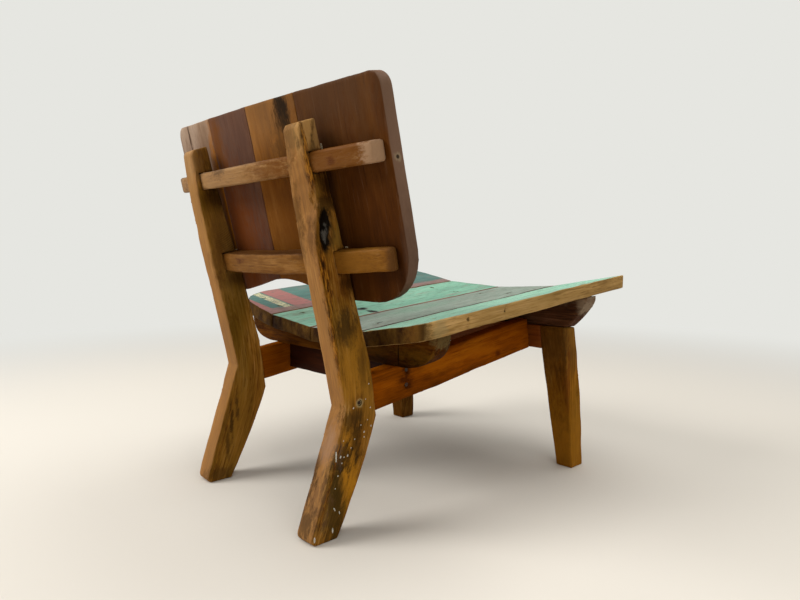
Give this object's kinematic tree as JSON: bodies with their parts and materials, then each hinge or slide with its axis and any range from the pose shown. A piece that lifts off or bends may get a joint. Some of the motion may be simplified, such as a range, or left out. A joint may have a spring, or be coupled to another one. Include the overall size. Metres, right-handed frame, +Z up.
{
  "type": "lounge chair",
  "caption": "Low armless lounge chair of reclaimed teak with dogleg rear legs, a dished seat of painted planks and a bowed, reclined back of upright boards on battens.",
  "frame": {"origin": "middle of the chair's box, on the floor", "axes": "+Z up, the sitter faces -Y, +X is on the sitter's left"},
  "size_m": [0.744, 0.834, 0.818],
  "materials": {
    "weathered_teak": "waxed, worn, with dark stains",
    "orange_teak": "waxed",
    "dark_teak": "waxed, dark",
    "golden_teak": "waxed",
    "grey_brown_board": "waxed",
    "plum_brown_board": "waxed",
    "orange_brown_board": "waxed",
    "dark_brown_board": "waxed",
    "teal_paint": "worn teal paint",
    "green_paint": "worn green paint",
    "grey_green_paint": "worn grey-green paint",
    "pale_green_paint": "worn pale green paint",
    "dull_steel": "dull, dark",
    "peg_teak": "end grain"
  },
  "bodies": {
    "root": {"rear_leg_right": "weathered_teak", "rear_leg_left": "weathered_teak", "front_leg_right": "weathered_teak", "front_leg_left": "weathered_teak", "side_rail_right": "orange_teak", "side_rail_left": "orange_teak", "front_cross_rail": "orange_teak", "rear_cross_rail": "dark_teak", "rear_seat_bearer": "dark_teak", "front_seat_bearer": "dark_teak", "seat_plank_1": "teal_paint", "seat_plank_2": "green_paint", "seat_plank_3": "grey_green_paint", "seat_plank_4": "pale_green_paint", "back_board_1": "grey_brown_board", "back_board_2": "plum_brown_board", "back_board_3": "orange_brown_board", "back_board_4": "dark_brown_board", "upper_batten": "golden_teak", "lower_batten": "golden_teak", "seat_nail_1a_back": "dull_steel", "seat_nail_1b_back": "dull_steel", "seat_nail_1a_front": "dull_steel", "seat_nail_1b_front": "dull_steel", "seat_nail_2a_back": "dull_steel", "seat_nail_2b_back": "dull_steel", "seat_nail_2a_front": "dull_steel", "seat_nail_2b_front": "dull_steel", "seat_nail_3a_back": "dull_steel", "seat_nail_3b_back": "dull_steel", "seat_nail_3a_front": "dull_steel", "seat_nail_3b_front": "dull_steel", "seat_nail_4a_back": "dull_steel", "seat_nail_4b_back": "dull_steel", "seat_nail_4a_front": "dull_steel", "seat_nail_4b_front": "dull_steel", "board_screw_1_upper": "dull_steel", "board_screw_1_lower": "dull_steel", "board_screw_2_upper": "dull_steel", "board_screw_2_lower": "dull_steel", "board_screw_3_upper": "dull_steel", "board_screw_3_lower": "dull_steel", "board_screw_4_upper": "dull_steel", "board_screw_4_lower": "dull_steel", "batten_screw_upper_right": "dull_steel", "batten_screw_upper_left": "dull_steel", "batten_screw_lower_right": "dull_steel", "batten_screw_lower_left": "dull_steel", "rail_nail_right_a": "dull_steel", "rail_nail_right_b": "dull_steel", "rail_nail_left_a": "dull_steel", "rail_nail_left_b": "dull_steel", "leg_peg_right": "peg_teak", "leg_peg_left": "peg_teak", "front_peg_right": "peg_teak", "front_peg_left": "peg_teak", "bearer_dowel_right": "peg_teak", "bearer_dowel_left": "peg_teak"}
  },
  "joints": []
}
